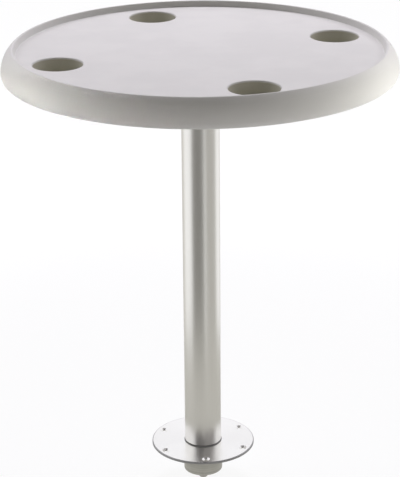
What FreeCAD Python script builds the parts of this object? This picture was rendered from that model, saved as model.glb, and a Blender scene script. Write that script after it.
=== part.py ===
import FreeCAD, Part
import math
import os

# Plug-in pedestal table: a round moulded top on an aluminium post that stands in a flush deck base.
# Millimetres and degrees, +Z up. The origin is the centre of the deck flange's underside, at deck level.

# Whole table
table_height = 685.0
top_diameter = 614.0

# Moulded top: lip, cove, apron
lip_inset = 18.0
lip_height = 9.5
lip_round = 2.5
lip_wall_angle = 68.0
cove_radius = 3.0
rim_height = 42.5
belly_height = 8.0
mouth_inset = 2.0
shell_wall = 3.5

# Drink wells
well_count = 4
well_inset = 79.5
well_turn = 20.0
well_diameter = 76.5
well_depth = 27.5
well_draft = 2.0
well_edge_round = 1.5
well_foot_round = 5.0

# Post and its plugs
post_diameter = 60.3
post_wall = 3.2
post_end_chamfer = 0.6
plug_collar = 0.8
plug_stem = 45.0
plug_wall = 4.0
plug_rib_count = 8
plug_rib_height = 1.4
plug_rib_width = 4.0
spigot_short = 4.0
spigot_taper = 1.0
spigot_tip_chamfer = 2.0

# Bush, the same in the deck socket and in the receiver
bush_lip = 0.8
bush_lip_round = 0.3
bush_lip_overhang = 1.05
bush_wall = 2.65
bush_floor_gap = 6.0

# Deck flange
flange_diameter = 170.0
flange_thickness = 4.0
flange_edge_round = 1.4
deck_hole_count = 6
deck_hole_inset = 11.5
deck_hole_turn = 33.5
deck_hole_diameter = 7.0
deck_sink_diameter = 13.0

# Socket cup and drain spigot under the deck
socket_step = 1.15
cup_wall = 3.0
cup_depth = 50.0
cup_floor = 4.0
cup_foot_round = 3.0
cup_seat = 2.0
cup_seat_chamfer = 1.0
cup_neck_step = 0.5
cup_neck_drop = 2.0
drain_diameter = 14.0
drain_length = 16.5
drain_bore = 7.0
drain_shank = 10.0
drain_chamfer = 1.0

# Receiver under the top
receiver_flange_diameter = 144.0
receiver_flange_thickness = 5.0
receiver_floor_gap = 3.0
receiver_wall = 4.5
receiver_draft = 1.5
receiver_edge_round = 1.5
receiver_root_round = 4.0
receiver_screw_count = 6
receiver_screw_inset = 16.0
gusset_thickness = 5.0
gusset_height = 34.0
gusset_margin = 6.0

# Core board and its threaded inserts
core_edge_gap = 11.0
core_thickness = 15.0
insert_diameter = 10.0
insert_length = 12.0

# Cover under the top
cover_thickness = 3.0
cover_recess = 1.5
dish_margin = 6.0
dish_slope = 10.0
dish_round = 3.0
cover_screw_inset = 41.0
cover_screw_spread = 30.0
boss_diameter = 10.0
boss_rib_thickness = 3.0

# Countersunk screws
sink_half_angle = 45.0
receiver_screw_diameter = 6.0
receiver_head_diameter = 12.0
receiver_key = 4.0
receiver_screw_tip_gap = 2.0
cover_screw_diameter = 4.0
cover_head_diameter = 7.6
cover_key = 2.5
cover_screw_length = 16.0
key_depth_share = 0.8

# Clearances
running_clearance = 0.05
press_clearance = 0.05
taper_clearance = 0.3
screw_clearance = 0.25
core_clearance = 1.0
cover_clearance = 0.5

# Sizes that follow from a neighbour and a named gap
lip_circle = top_diameter - 2 * lip_inset
well_circle = top_diameter - 2 * well_inset
cover_screw_circle = top_diameter - 2 * cover_screw_inset
core_diameter = cover_screw_circle - boss_diameter - 2 * core_edge_gap
socket_bore = post_diameter - 2 * socket_step
spigot_diameter = socket_bore - 2 * (running_clearance + bush_wall + taper_clearance)
bush_lip_diameter = post_diameter + 2 * bush_lip_overhang
bush_length = flange_thickness + cup_depth - cup_floor - bush_floor_gap
spigot_length = bush_length - spigot_short
deck_hole_circle = flange_diameter - 2 * deck_hole_inset
receiver_screw_circle = receiver_flange_diameter - 2 * receiver_screw_inset
receiver_depth = receiver_flange_thickness + receiver_floor_gap + bush_length

# Radii and heights that follow from the sizes above
top_radius = top_diameter / 2
post_radius = post_diameter / 2
tube_bore_radius = post_radius - post_wall
bore_radius = socket_bore / 2
cup_radius = bore_radius + cup_wall
cup_neck_radius = cup_radius - cup_neck_step
spigot_radius = spigot_diameter / 2
well_radius = well_diameter / 2
well_outer_radius = well_radius + shell_wall
receiver_radius = receiver_flange_diameter / 2
taper_slope = math.tan(math.radians(spigot_taper))
draft_slope = math.tan(math.radians(well_draft))
tray_z = table_height - lip_height
rim_foot_z = table_height - rim_height
belly_z = rim_foot_z + belly_height
core_z = tray_z - shell_wall - core_thickness
receiver_face_z = core_z - cover_thickness
receiver_mouth_z = receiver_face_z - receiver_depth
cover_z = rim_foot_z + cover_recess
tube_foot_z = flange_thickness + bush_lip + plug_collar
tube_head_z = receiver_mouth_z - bush_lip - plug_collar
cup_floor_z = cup_floor - cup_depth

origin = FreeCAD.Vector(0, 0, 0)
up = FreeCAD.Vector(0, 0, 1)
across = FreeCAD.Vector(1, 0, 0)
sideways = FreeCAD.Vector(0, 1, 0)


def point(radius, height):
    """A point of an outline in the XZ plane."""
    return FreeCAD.Vector(radius, 0, height)


def on_circle(centre, radius, angle):
    """The point of a circle in the XZ plane at an angle from +X towards +Z."""
    turn = math.radians(angle)
    return centre + point(radius * math.cos(turn), radius * math.sin(turn))


def line(start, end):
    return Part.LineSegment(start, end).toShape()


def arc(centre, radius, first, last):
    """An arc in the XZ plane from one angle to another."""
    ends = [on_circle(centre, radius, angle) for angle in (first, (first + last) / 2, last)]
    return Part.Arc(*ends).toShape()


def spun(edges):
    """The solid that a closed outline sweeps in a full turn about Z."""
    return Part.Face(Part.Wire(edges)).revolve(origin, up, 360)


def rounded_outline(corners):
    """Edges of a closed outline of (radius, height, corner round)."""
    points = [point(radius, height) for radius, height, _ in corners]
    stretches = []
    for index, corner in enumerate(points):
        corner_round = corners[index][2]
        back = (points[index - 1] - corner).normalize()
        ahead = (points[(index + 1) % len(points)] - corner).normalize()
        half = back.getAngle(ahead) / 2
        reach = corner_round / math.tan(half)
        middle = corner + (back + ahead).normalize() * (corner_round / math.sin(half) - corner_round)
        stretches.append((corner + back * reach, middle, corner + ahead * reach))
    edges = []
    for index, (start, middle, end) in enumerate(stretches):
        if corners[index][2] > 0:
            edges.append(Part.Arc(start, middle, end).toShape())
        edges.append(line(end, stretches[(index + 1) % len(stretches)][0]))
    return edges


def turned(corners):
    """A turned solid from an outline of (radius, height, corner round)."""
    return spun(rounded_outline(corners))


def around(shape, count, turn):
    """Copies of a shape, spaced evenly about Z."""
    copies = []
    for index in range(count):
        copy = shape.copy()
        copy.rotate(origin, up, turn + index * 360 / count)
        copies.append(copy)
    return copies


def moved(shape, x=0.0, z=0.0):
    copy = shape.copy()
    copy.translate(FreeCAD.Vector(x, 0, z))
    return copy


def overturned(shape):
    """The shape turned upside down about the X axis."""
    copy = shape.copy()
    copy.rotate(origin, across, 180)
    return copy


def cylinder(radius, low, high):
    return Part.makeCylinder(radius, high - low, point(0, low), up)


def countersunk(shank_radius, head_radius, length):
    """A countersunk shape with its flat head at height 0 and its shank upwards."""
    head_depth = (head_radius - shank_radius) / math.tan(math.radians(sink_half_angle))
    head = Part.makeCone(head_radius, shank_radius, head_depth)
    return head.fuse(cylinder(shank_radius, 0, length)).removeSplitter()


def screw(diameter, head_diameter, length, key):
    """A countersunk screw with a hexagon socket, head flat at height 0, shank upwards."""
    corners = [FreeCAD.Vector(key / math.sqrt(3), 0, 0)]
    for index in range(1, 7):
        corner = corners[0]
        turn = math.radians(60 * index)
        corners.append(FreeCAD.Vector(corner.x * math.cos(turn), corner.x * math.sin(turn), 0))
    socket = Part.Face(Part.makePolygon(corners)).extrude(up * key * key_depth_share)
    return countersunk(diameter / 2, head_diameter / 2, length).cut(socket)


def screw_hole(diameter, head_diameter, length):
    """The cut that takes such a screw with clearance."""
    return countersunk(diameter / 2 + screw_clearance, head_diameter / 2 + screw_clearance, length)


def rim_edges(offset):
    """Edges of the top's upper surface, tray to apron mouth, moved inwards by an offset."""
    crest = point(lip_circle / 2, table_height - lip_round)
    crest_rise = crest.z - belly_z
    flank_radius = (lip_inset**2 - lip_round**2 + crest_rise**2) / (2 * (lip_inset - lip_round))
    flank = point(top_radius - flank_radius, belly_z)
    roll_radius = (mouth_inset**2 + belly_height**2) / (2 * mouth_inset)
    roll = point(top_radius - roll_radius, belly_z)

    wall_turn = math.radians(lip_wall_angle)
    wall_along = point(math.cos(wall_turn), math.sin(wall_turn))
    wall_normal = point(-math.sin(wall_turn), math.cos(wall_turn))
    wall_head = crest + wall_normal * (lip_round - offset)
    cove_rise = cove_radius * (1 - math.cos(wall_turn))
    wall_length = (crest.z + wall_normal.z * lip_round - tray_z - cove_rise) / wall_along.z
    wall_foot = wall_head - wall_along * wall_length
    cove = wall_foot + wall_normal * (cove_radius + offset)

    flank_angle = math.degrees(math.atan2(crest.z - flank.z, crest.x - flank.x))
    crest_edges = []
    if offset < lip_round:
        crest_edges.append(arc(crest, lip_round - offset, 90 + lip_wall_angle, flank_angle))
    else:
        to_wall = wall_head - flank
        along = to_wall.dot(wall_along)
        reach = (flank_radius - offset) ** 2 - to_wall.dot(to_wall) + along**2
        wall_head = wall_head + wall_along * (math.sqrt(reach) - along)
        flank_angle = math.degrees(math.atan2(wall_head.z - flank.z, wall_head.x - flank.x))
    mouth_angle = math.degrees(math.asin(belly_height / (roll_radius - offset)))

    floor_end = cove - up * (cove_radius + offset)
    edges = [line(point(0, floor_end.z), floor_end)]
    edges.append(arc(cove, cove_radius + offset, -90, lip_wall_angle - 90))
    edges.append(line(wall_foot, wall_head))
    edges.extend(crest_edges)
    edges.append(arc(flank, flank_radius - offset, flank_angle, 0))
    edges.append(arc(roll, roll_radius - offset, 0, -mouth_angle))
    return edges, on_circle(roll, roll_radius - offset, -mouth_angle)


def top_body(offset):
    """Everything below the upper surface moved inwards by an offset, down to the apron's mouth."""
    edges, mouth = rim_edges(offset)
    edges.append(line(mouth, point(0, mouth.z)))
    edges.append(line(point(0, mouth.z), edges[0].Vertexes[0].Point))
    return spun(edges)


def well_cup():
    """One drink well with the piece of tray around it, on the Z axis."""
    collar = well_outer_radius + well_edge_round
    floor_z = tray_z - well_depth
    foot = well_radius - well_depth * draft_slope
    return turned([
        (collar, tray_z, 0),
        (well_radius, tray_z, well_edge_round),
        (foot, floor_z, well_foot_round),
        (0, floor_z, 0),
        (0, floor_z - shell_wall, 0),
        (foot + shell_wall, floor_z - shell_wall, well_foot_round),
        (well_outer_radius, tray_z - shell_wall, 0),
        (collar, tray_z - shell_wall, 0),
    ])


def well_places(shape):
    return around(moved(shape, well_circle / 2), well_count, well_turn)


def cover_screw_places(shape):
    """Two copies between each pair of wells."""
    middle = well_turn + 180 / well_count
    placed = moved(shape, cover_screw_circle / 2)
    return [
        copy
        for side in (-cover_screw_spread / 2, cover_screw_spread / 2)
        for copy in around(placed, well_count, middle + side)
    ]


def receiver_screw_places(shape):
    return around(moved(shape, receiver_screw_circle / 2), receiver_screw_count, 0)


def top_shell():
    """The moulded top: tray, cove, lip, rolled apron, wells, and bosses for the cover's screws."""
    shell = top_body(0).cut(top_body(shell_wall))
    opening = cylinder(well_outer_radius + well_edge_round, tray_z - shell_wall, tray_z)
    shell = shell.cut(well_places(opening))
    shell = shell.fuse(well_places(well_cup()))

    boss_foot_z = cover_z + cover_thickness
    boss = cylinder(boss_diameter / 2, boss_foot_z, tray_z)
    rib = Part.makeBox(cover_screw_inset, boss_rib_thickness, table_height - belly_z)
    rib.translate(FreeCAD.Vector(0, -boss_rib_thickness / 2, belly_z))
    inside = top_body(shell_wall / 2)
    bosses = [inside.common(place) for place in cover_screw_places(boss.fuse(rib))]
    pilot_top_z = cover_z + cover_screw_length + cover_thickness
    pilot = cylinder(cover_screw_diameter / 2 + press_clearance, boss_foot_z, pilot_top_z)
    return shell.fuse(bosses).removeSplitter().cut(cover_screw_places(pilot))


def core_board():
    """The plywood stiffener under the tray, scalloped round the wells."""
    board = cylinder(core_diameter / 2, core_z, core_z + core_thickness)
    scallop = cylinder(well_outer_radius + core_clearance, core_z, core_z + core_thickness)
    seat = cylinder(insert_diameter / 2 + press_clearance, core_z, core_z + insert_length)
    return board.cut(well_places(scallop)).cut(receiver_screw_places(seat))


def core_inserts():
    """Threaded inserts for the receiver's screws."""
    insert = cylinder(insert_diameter / 2, core_z, core_z + insert_length)
    bore = cylinder(receiver_screw_diameter / 2 + press_clearance, core_z, core_z + insert_length)
    return Part.Compound(receiver_screw_places(insert.cut(bore)))


def underside_cover():
    """The pan that closes the underside, dished up to the core board for the receiver."""
    edge_radius = rim_edges(shell_wall)[1].x - cover_clearance
    dish_radius = receiver_radius + dish_margin
    shift = dish_slope * cover_thickness / (core_z - cover_z)
    pan = turned([
        (0, receiver_face_z, 0),
        (dish_radius, receiver_face_z, dish_round),
        (dish_radius + dish_slope, cover_z, dish_round),
        (edge_radius, cover_z, 0),
        (edge_radius, cover_z + cover_thickness, 0),
        (dish_radius + dish_slope + shift, cover_z + cover_thickness, dish_round),
        (dish_radius + shift, core_z, dish_round),
        (0, core_z, 0),
    ])
    well_hole = cylinder(well_outer_radius + cover_clearance, cover_z, cover_z + cover_thickness)
    edge_hole = screw_hole(cover_screw_diameter, cover_head_diameter, cover_screw_length)
    shank_radius = receiver_screw_diameter / 2 + screw_clearance
    middle_hole = cylinder(shank_radius, receiver_face_z, core_z)
    pan = pan.cut(well_places(well_hole))
    pan = pan.cut(cover_screw_places(moved(edge_hole, z=cover_z)))
    return pan.cut(receiver_screw_places(middle_hole))


def cover_screws():
    piece = screw(cover_screw_diameter, cover_head_diameter, cover_screw_length, cover_key)
    return Part.Compound(cover_screw_places(moved(piece, z=cover_z)))


def top_receiver():
    """The cast socket under the top, with gussets between its screws."""
    flange_z = receiver_face_z - receiver_flange_thickness
    boss_radius = bore_radius + receiver_wall
    boss_height = flange_z - receiver_mouth_z
    root_radius = boss_radius + boss_height * math.tan(math.radians(receiver_draft))
    body = turned([
        (0, receiver_face_z, 0),
        (receiver_radius, receiver_face_z, 0),
        (receiver_radius, flange_z, receiver_edge_round),
        (root_radius, flange_z, receiver_root_round),
        (boss_radius, receiver_mouth_z, receiver_edge_round),
        (bore_radius, receiver_mouth_z, 0),
        (bore_radius, flange_z, 0),
        (0, flange_z, 0),
    ])
    inner = bore_radius + receiver_wall / 2
    outer = receiver_radius - gusset_margin
    corners = [
        point(inner, flange_z - gusset_height),
        point(boss_radius, flange_z - gusset_height),
        point(outer, flange_z),
        point(outer, receiver_face_z),
        point(inner, receiver_face_z),
    ]
    gusset = Part.Face(Part.makePolygon(corners + corners[:1])).extrude(sideways * gusset_thickness)
    gusset.translate(sideways * (-gusset_thickness / 2))
    body = body.fuse(around(gusset, receiver_screw_count, 180 / receiver_screw_count))
    hole = screw_hole(receiver_screw_diameter, receiver_head_diameter, receiver_flange_thickness)
    return body.removeSplitter().cut(receiver_screw_places(moved(hole, z=flange_z)))


def receiver_screws():
    length = receiver_flange_thickness + cover_thickness + insert_length - receiver_screw_tip_gap
    piece = screw(receiver_screw_diameter, receiver_head_diameter, length, receiver_key)
    return Part.Compound(receiver_screw_places(moved(piece, z=receiver_face_z - receiver_flange_thickness)))


def bush():
    """A lipped bush with a tapered bore, its lip seated on height 0."""
    outer = bore_radius - running_clearance
    lip_radius = bush_lip_diameter / 2
    mouth = spigot_radius + taper_clearance
    return turned([
        (mouth, bush_lip, 0),
        (lip_radius, bush_lip, bush_lip_round),
        (lip_radius, 0, 0),
        (outer, 0, 0),
        (outer, -bush_length, 0),
        (mouth - (bush_length + bush_lip) * taper_slope, -bush_length, 0),
    ])


def plug():
    """A hollow post plug: tapered spigot below height 0, collar and ribbed stem above it."""
    tip = spigot_radius - spigot_length * taper_slope
    rib_radius = tube_bore_radius - press_clearance
    stem = rib_radius - plug_rib_height
    stem_top = plug_collar + plug_stem
    bore = tip - plug_wall
    body = turned([
        (bore, -spigot_length, 0),
        (tip - spigot_tip_chamfer, -spigot_length, 0),
        (tip, spigot_tip_chamfer - spigot_length, 0),
        (spigot_radius, 0, 0),
        (post_radius, 0, 0),
        (post_radius, plug_collar, 0),
        (stem, plug_collar, 0),
        (stem, stem_top, 0),
        (0, stem_top, 0),
        (0, stem_top - plug_wall, 0),
        (bore, stem_top - plug_wall, 0),
    ])
    rib = Part.makeBox(rib_radius - bore, plug_rib_width, plug_stem)
    rib.translate(FreeCAD.Vector(bore, -plug_rib_width / 2, plug_collar))
    sleeve = cylinder(rib_radius, plug_collar, stem_top).cut(cylinder(bore, plug_collar, stem_top))
    ribs = [sleeve.common(copy) for copy in around(rib, plug_rib_count, 0)]
    return body.fuse(ribs).removeSplitter()


def post_tube():
    """The post, chamfered at both ends."""
    return turned([
        (tube_bore_radius, tube_foot_z, 0),
        (post_radius - post_end_chamfer, tube_foot_z, 0),
        (post_radius, tube_foot_z + post_end_chamfer, 0),
        (post_radius, tube_head_z - post_end_chamfer, 0),
        (post_radius - post_end_chamfer, tube_head_z, 0),
        (tube_bore_radius, tube_head_z, 0),
    ])


def deck_flange():
    """The deck disc with its countersunk holes and the chamfered seat for the cup."""
    seat_radius = cup_neck_radius + press_clearance
    disc = turned([
        (seat_radius, cup_seat_chamfer, 0),
        (seat_radius + cup_seat_chamfer, 0, 0),
        (flange_diameter / 2, 0, 0),
        (flange_diameter / 2, flange_thickness, flange_edge_round),
        (bore_radius, flange_thickness, 0),
        (bore_radius, cup_seat, 0),
        (seat_radius, cup_seat, 0),
    ])
    sink = overturned(countersunk(deck_hole_diameter / 2, deck_sink_diameter / 2, flange_thickness))
    hole = moved(sink, deck_hole_circle / 2, flange_thickness)
    return disc.cut(around(hole, deck_hole_count, deck_hole_turn))


def socket_cup():
    """The cup under the flange, necked to seat in it and open to the drain in its floor."""
    drain_hole = drain_shank / 2 + press_clearance
    return turned([
        (drain_hole, -cup_depth, 0),
        (cup_radius, -cup_depth, cup_foot_round),
        (cup_radius, -cup_neck_drop, 0),
        (cup_neck_radius, -cup_neck_drop, 0),
        (cup_neck_radius, cup_seat, 0),
        (bore_radius, cup_seat, 0),
        (bore_radius, cup_floor_z, 0),
        (drain_hole, cup_floor_z, 0),
    ])


def drain_spigot():
    """The spout under the cup, its shank set in the cup's floor."""
    foot_z = -cup_depth - drain_length
    return turned([
        (drain_bore / 2, foot_z, 0),
        (drain_diameter / 2 - drain_chamfer, foot_z, 0),
        (drain_diameter / 2, foot_z + drain_chamfer, 0),
        (drain_diameter / 2, -cup_depth, 0),
        (drain_shank / 2, -cup_depth, 0),
        (drain_shank / 2, cup_floor_z, 0),
        (drain_bore / 2, cup_floor_z, 0),
    ])


pieces = {
    "deck_flange": deck_flange(),
    "socket_cup": socket_cup(),
    "drain_spigot": drain_spigot(),
    "socket_bush": moved(bush(), z=flange_thickness),
    "post_tube": post_tube(),
    "lower_plug": moved(plug(), z=tube_foot_z - plug_collar),
    "upper_plug": moved(overturned(plug()), z=tube_head_z + plug_collar),
    "top_receiver": top_receiver(),
    "receiver_bush": moved(overturned(bush()), z=receiver_mouth_z),
    "receiver_screws": receiver_screws(),
    "core_board": core_board(),
    "core_inserts": core_inserts(),
    "underside_cover": underside_cover(),
    "cover_screws": cover_screws(),
    "top_shell": top_shell(),
}

os.makedirs("parts", exist_ok=True)
for name, shape in pieces.items():
    shape.exportStep(f"parts/{name}.step")
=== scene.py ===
"""Dresses the packed plug-in pedestal table: a moulded top on a satin post in a flush deck base."""

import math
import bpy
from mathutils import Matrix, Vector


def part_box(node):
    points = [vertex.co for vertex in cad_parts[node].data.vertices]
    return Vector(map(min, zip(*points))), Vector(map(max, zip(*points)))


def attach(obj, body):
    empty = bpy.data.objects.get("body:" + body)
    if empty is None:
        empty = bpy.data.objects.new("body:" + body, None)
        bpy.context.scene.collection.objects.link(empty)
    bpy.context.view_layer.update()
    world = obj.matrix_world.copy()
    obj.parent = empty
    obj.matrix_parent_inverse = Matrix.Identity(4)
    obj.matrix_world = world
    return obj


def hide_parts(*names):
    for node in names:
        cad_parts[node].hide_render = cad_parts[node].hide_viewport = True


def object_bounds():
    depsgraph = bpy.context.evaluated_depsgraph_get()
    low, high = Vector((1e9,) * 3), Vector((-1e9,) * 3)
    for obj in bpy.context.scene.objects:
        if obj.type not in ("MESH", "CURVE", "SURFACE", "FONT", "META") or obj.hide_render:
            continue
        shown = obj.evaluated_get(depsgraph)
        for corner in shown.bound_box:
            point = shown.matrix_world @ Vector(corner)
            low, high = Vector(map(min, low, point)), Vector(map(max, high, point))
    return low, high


bl_info = {
    "name": "Plug-in pedestal table",
    "version": (1, 0, 0),
    "blender": (4, 5, 0),
    "location": "3D View > Sidebar > Pedestal table",
    "description": "Builds the table's pieces, finishes and stage around its packed CAD frame",
    "category": "Object",
}

import bmesh
import bpy
from bpy.props import FloatProperty, FloatVectorProperty, IntProperty, PointerProperty
from mathutils import Matrix, Vector

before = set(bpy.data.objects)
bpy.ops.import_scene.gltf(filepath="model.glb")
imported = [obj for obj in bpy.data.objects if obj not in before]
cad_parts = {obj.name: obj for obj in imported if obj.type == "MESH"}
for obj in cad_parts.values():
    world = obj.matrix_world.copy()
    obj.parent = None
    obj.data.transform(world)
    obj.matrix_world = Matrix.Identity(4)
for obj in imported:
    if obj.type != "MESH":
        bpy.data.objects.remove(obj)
cad_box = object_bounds()

MERGE = 1e-6
SMOOTH_LIMIT = math.radians(28)
UP = (0, 0, 1)
FRONT = -math.pi / 2
SENSOR_WIDTH = 36.0

# Steps round each turned shape
RIM_STEPS = 256
FLANGE_STEPS = 192
POST_STEPS = 160
WELL_STEPS = 96
DRAIN_STEPS = 64
DECK_HOLE_STEPS = 64
SCREW_HOLE_STEPS = 48
BOSS_STEPS = 24
SHEET_STEPS = 20

# Steps along each curve of an outline, and across each rounded edge
FLANK_STEPS = 16
BEAD_STEPS = 12
MOUTH_STEPS = 12
BOARD_STEPS = 12
COVE_STEPS = 10
INNER_FLANK_STEPS = 10
INNER_MOUTH_STEPS = 8
INNER_COVE_STEPS = 8
CORNER_STEPS = 6
GUSSET_EDGE_STEPS = 4
MOUTH_EDGE_STEPS = 3

# Places of a colour mix's sockets in the Mix node
MIX_FACTOR, MIX_FIRST, MIX_SECOND, MIX_RESULT = 0, 6, 7, 2

# Heights off the tray's face between which its flat has its own grain, and where that fades out
TRAY_BAND = 0.0002
TRAY_FADE_UNDER = 0.0006
TRAY_FADE_OVER = 0.0012

# How much stronger the clouds are on the tray, and the level that they vary about
TRAY_CLOUDS = 4
MIDDLE = 0.5

# Share of the fine grain in the relief of moulded plastic
FINE_GRAIN = 0.35


# Property helpers


def length(title, text, default):
    return FloatProperty(name=title, description=text, default=default, unit="LENGTH", precision=5)


def angle(title, text, degrees):
    turn = math.radians(degrees)
    return FloatProperty(name=title, description=text, default=turn, subtype="ANGLE")


def share(title, text, default):
    return FloatProperty(
        name=title, description=text, default=default, min=0, max=1, subtype="FACTOR"
    )


def count(title, text, default):
    return IntProperty(name=title, description=text, default=default, min=1)


def power(title, text, watts):
    return FloatProperty(name=title, description=text, default=watts, min=0, unit="POWER")


def colour(title, text, default):
    return FloatVectorProperty(
        name=title, description=text, default=default, size=3, min=0, max=1, subtype="COLOR"
    )


class TopSizes(bpy.types.PropertyGroup):
    """Sizes of the moulded top."""

    height: length("Height", "Deck level to the crest of the lip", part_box("top_shell")[1].z)
    radius: length("Radius", "Post axis to the belly of the rim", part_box("top_shell")[1].x)
    mouth: length("Apron mouth", "Deck level to the lower edge of the apron", 0.6425)
    mouth_inset: length("Mouth inset", "How far the apron's mouth rolls in from the belly", 0.002)
    mouth_round: length("Mouth round", "Round on the apron's lower edges", 0.0006)
    belly: length("Belly", "Apron mouth to the widest part of the rim", 0.008)
    lip_inset: length("Lip inset", "Belly to the crest of the lip", 0.018)
    lip_height: length("Lip height", "Tray to the crest of the lip", 0.0095)
    lip_round: length("Lip round", "Radius of the bead along the crest", 0.0025)
    lip_slope: angle("Lip slope", "Slope of the lip's inner wall", 68)
    cove: length("Cove", "Radius where the tray turns up into the lip", 0.0012)
    wall: length("Wall", "Thickness of the moulding", 0.0035)
    ledge: length("Ledge", "Flat band that keeps shading even beside a round", 0.0015)
    well_count: count("Wells", "Number of drink wells", 4)
    well_inset: length("Well inset", "Belly to the axis of a well", 0.0795)
    well_turn: angle("Well turn", "Where the first well stands about the post", 20)
    well_radius: length("Well radius", "Radius of a well at the tray", 0.03825)
    well_depth: length("Well depth", "Tray to the floor of a well", 0.0275)
    well_draft: angle("Well draft", "Draft of a well's wall", 2)
    well_edge: length("Well edge", "Round between tray and well", 0.0025)
    well_foot: length("Well foot", "Round at the foot of a well", 0.005)
    boss_inset: length("Boss inset", "Belly to the axis of a cover screw's boss", 0.041)
    boss_radius: length("Boss radius", "Radius of a cover screw's boss", 0.005)
    boss_bore: length("Boss bore", "Radius of the pilot bore in a boss", 0.00205)
    boss_foot: length("Boss foot", "Deck level to the lower end of a boss", 0.647)
    boss_pilot: length("Boss pilot", "Boss foot to the blind end of its pilot bore", 0.016)
    boss_spread: angle("Boss spread", "Angle between the two bosses of a pair", 30)
    boss_rib: length("Boss rib", "Thickness of the rib that ties a boss to the apron", 0.003)


class PostSizes(bpy.types.PropertyGroup):
    """Sizes of the post and of the bushes that it plugs into."""

    radius: length("Radius", "Outside radius of the tube", 0.03015)
    wall: length("Wall", "Wall of the tube", 0.0032)
    foot: length("Foot", "Deck level to the lower end of the tube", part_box("post_tube")[0].z)
    head: length("Head", "Deck level to the upper end of the tube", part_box("post_tube")[1].z)
    chamfer: length("Chamfer", "Chamfer on the ends of the tube", 0.0006)
    bore: length("Bore", "Radius of the sockets that the bushes sit in", 0.029)
    bush_gap: length("Bush gap", "Running gap round a bush", 0.00005)
    bush_mouth: length("Bush mouth", "Radius of a bush's bore at its mouth", 0.0263)
    bush_lip: length("Bush lip", "Thickness of a bush's lip", 0.0008)
    bush_lip_radius: length("Bush lip radius", "Radius of a bush's lip", 0.0312)
    bush_lip_round: length("Bush lip round", "Round on the edge of a bush's lip", 0.0003)
    bush_length: length("Bush length", "How far a bush reaches into its socket", 0.044)
    taper: angle("Taper", "Taper of a bush's bore", 1)


class DeckSizes(bpy.types.PropertyGroup):
    """Sizes of the deck flange, the socket cup and its drain."""

    flange_radius: length("Flange radius", "Radius of the deck flange", 0.085)
    flange_top: length("Flange top", "Thickness of the deck flange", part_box("deck_flange")[1].z)
    flange_edge: length("Flange edge", "Round on the upper edge of the flange", 0.0014)
    flange_break: length("Edge break", "Broken edge on turned corners", 0.0003)
    hole_count: count("Holes", "Number of countersunk holes", 6)
    hole_inset: length("Hole inset", "Flange edge to the axis of a hole", 0.0115)
    hole_turn: angle("Hole turn", "Where the first hole stands about the post", 33.5)
    hole_radius: length("Hole radius", "Radius of a screw hole", 0.0035)
    sink_radius: length("Countersink radius", "Radius of a countersink at the face", 0.0065)
    cup_radius: length("Cup radius", "Outside radius of the socket cup", 0.032)
    cup_neck: length("Cup neck", "Radius of the neck that seats in the flange", 0.0315)
    cup_neck_drop: length("Cup neck drop", "Deck level down to the shoulder of the neck", 0.002)
    cup_seat: length("Cup seat", "How far the neck seats in the flange", 0.002)
    cup_seat_gap: length("Cup seat gap", "Gap round the neck", 0.00005)
    cup_seat_chamfer: length("Cup seat chamfer", "Lead-in on the flange's seat", 0.001)
    cup_depth: length("Cup depth", "Deck level down to the foot of the cup", 0.05)
    cup_floor: length("Cup floor", "Thickness of the cup's floor", 0.004)
    cup_foot: length("Cup foot", "Round at the foot of the cup", 0.003)
    drain_radius: length("Drain radius", "Outside radius of the drain spout", 0.007)
    drain_bore: length("Drain bore", "Radius of the drain's bore", 0.0035)
    drain_shank: length("Drain shank", "Radius of the shank set in the cup's floor", 0.005)
    drain_foot: length(
        "Drain foot", "Deck level down to the end of the spout", -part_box("drain_spigot")[0].z
    )
    drain_chamfer: length("Drain chamfer", "Chamfer on the end of the spout", 0.001)


class ReceiverSizes(bpy.types.PropertyGroup):
    """Sizes of the cast receiver under the top."""

    face: length("Face", "Deck level to the face that meets the cover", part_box("top_receiver")[1].z)
    mouth: length("Mouth", "Deck level to the mouth of the socket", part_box("top_receiver")[0].z)
    flange_radius: length("Flange radius", "Radius of the receiver's flange", 0.072)
    flange: length("Flange", "Thickness of the receiver's flange", 0.005)
    wall: length("Wall", "Wall of the socket at its mouth", 0.0045)
    draft: angle("Draft", "Draft of the socket's outside", 1.5)
    edge: length("Edge", "Round on the casting's outer edges", 0.0015)
    root: length("Root", "Round between socket and flange", 0.004)
    screw_count: count("Screws", "Number of countersunk screws", 6)
    screw_inset: length("Screw inset", "Flange edge to the axis of a screw", 0.016)
    hole_radius: length("Hole radius", "Radius of a screw hole", 0.00325)
    sink_radius: length("Countersink radius", "Radius of a countersink at the face", 0.00625)
    gusset: length("Gusset", "Thickness of a gusset", 0.005)
    gusset_height: length("Gusset height", "How far a gusset runs down the socket", 0.034)
    gusset_margin: length("Gusset margin", "Flange edge to the end of a gusset", 0.006)
    gusset_round: length("Gusset round", "Round along a gusset's edges", 0.0012)


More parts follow.
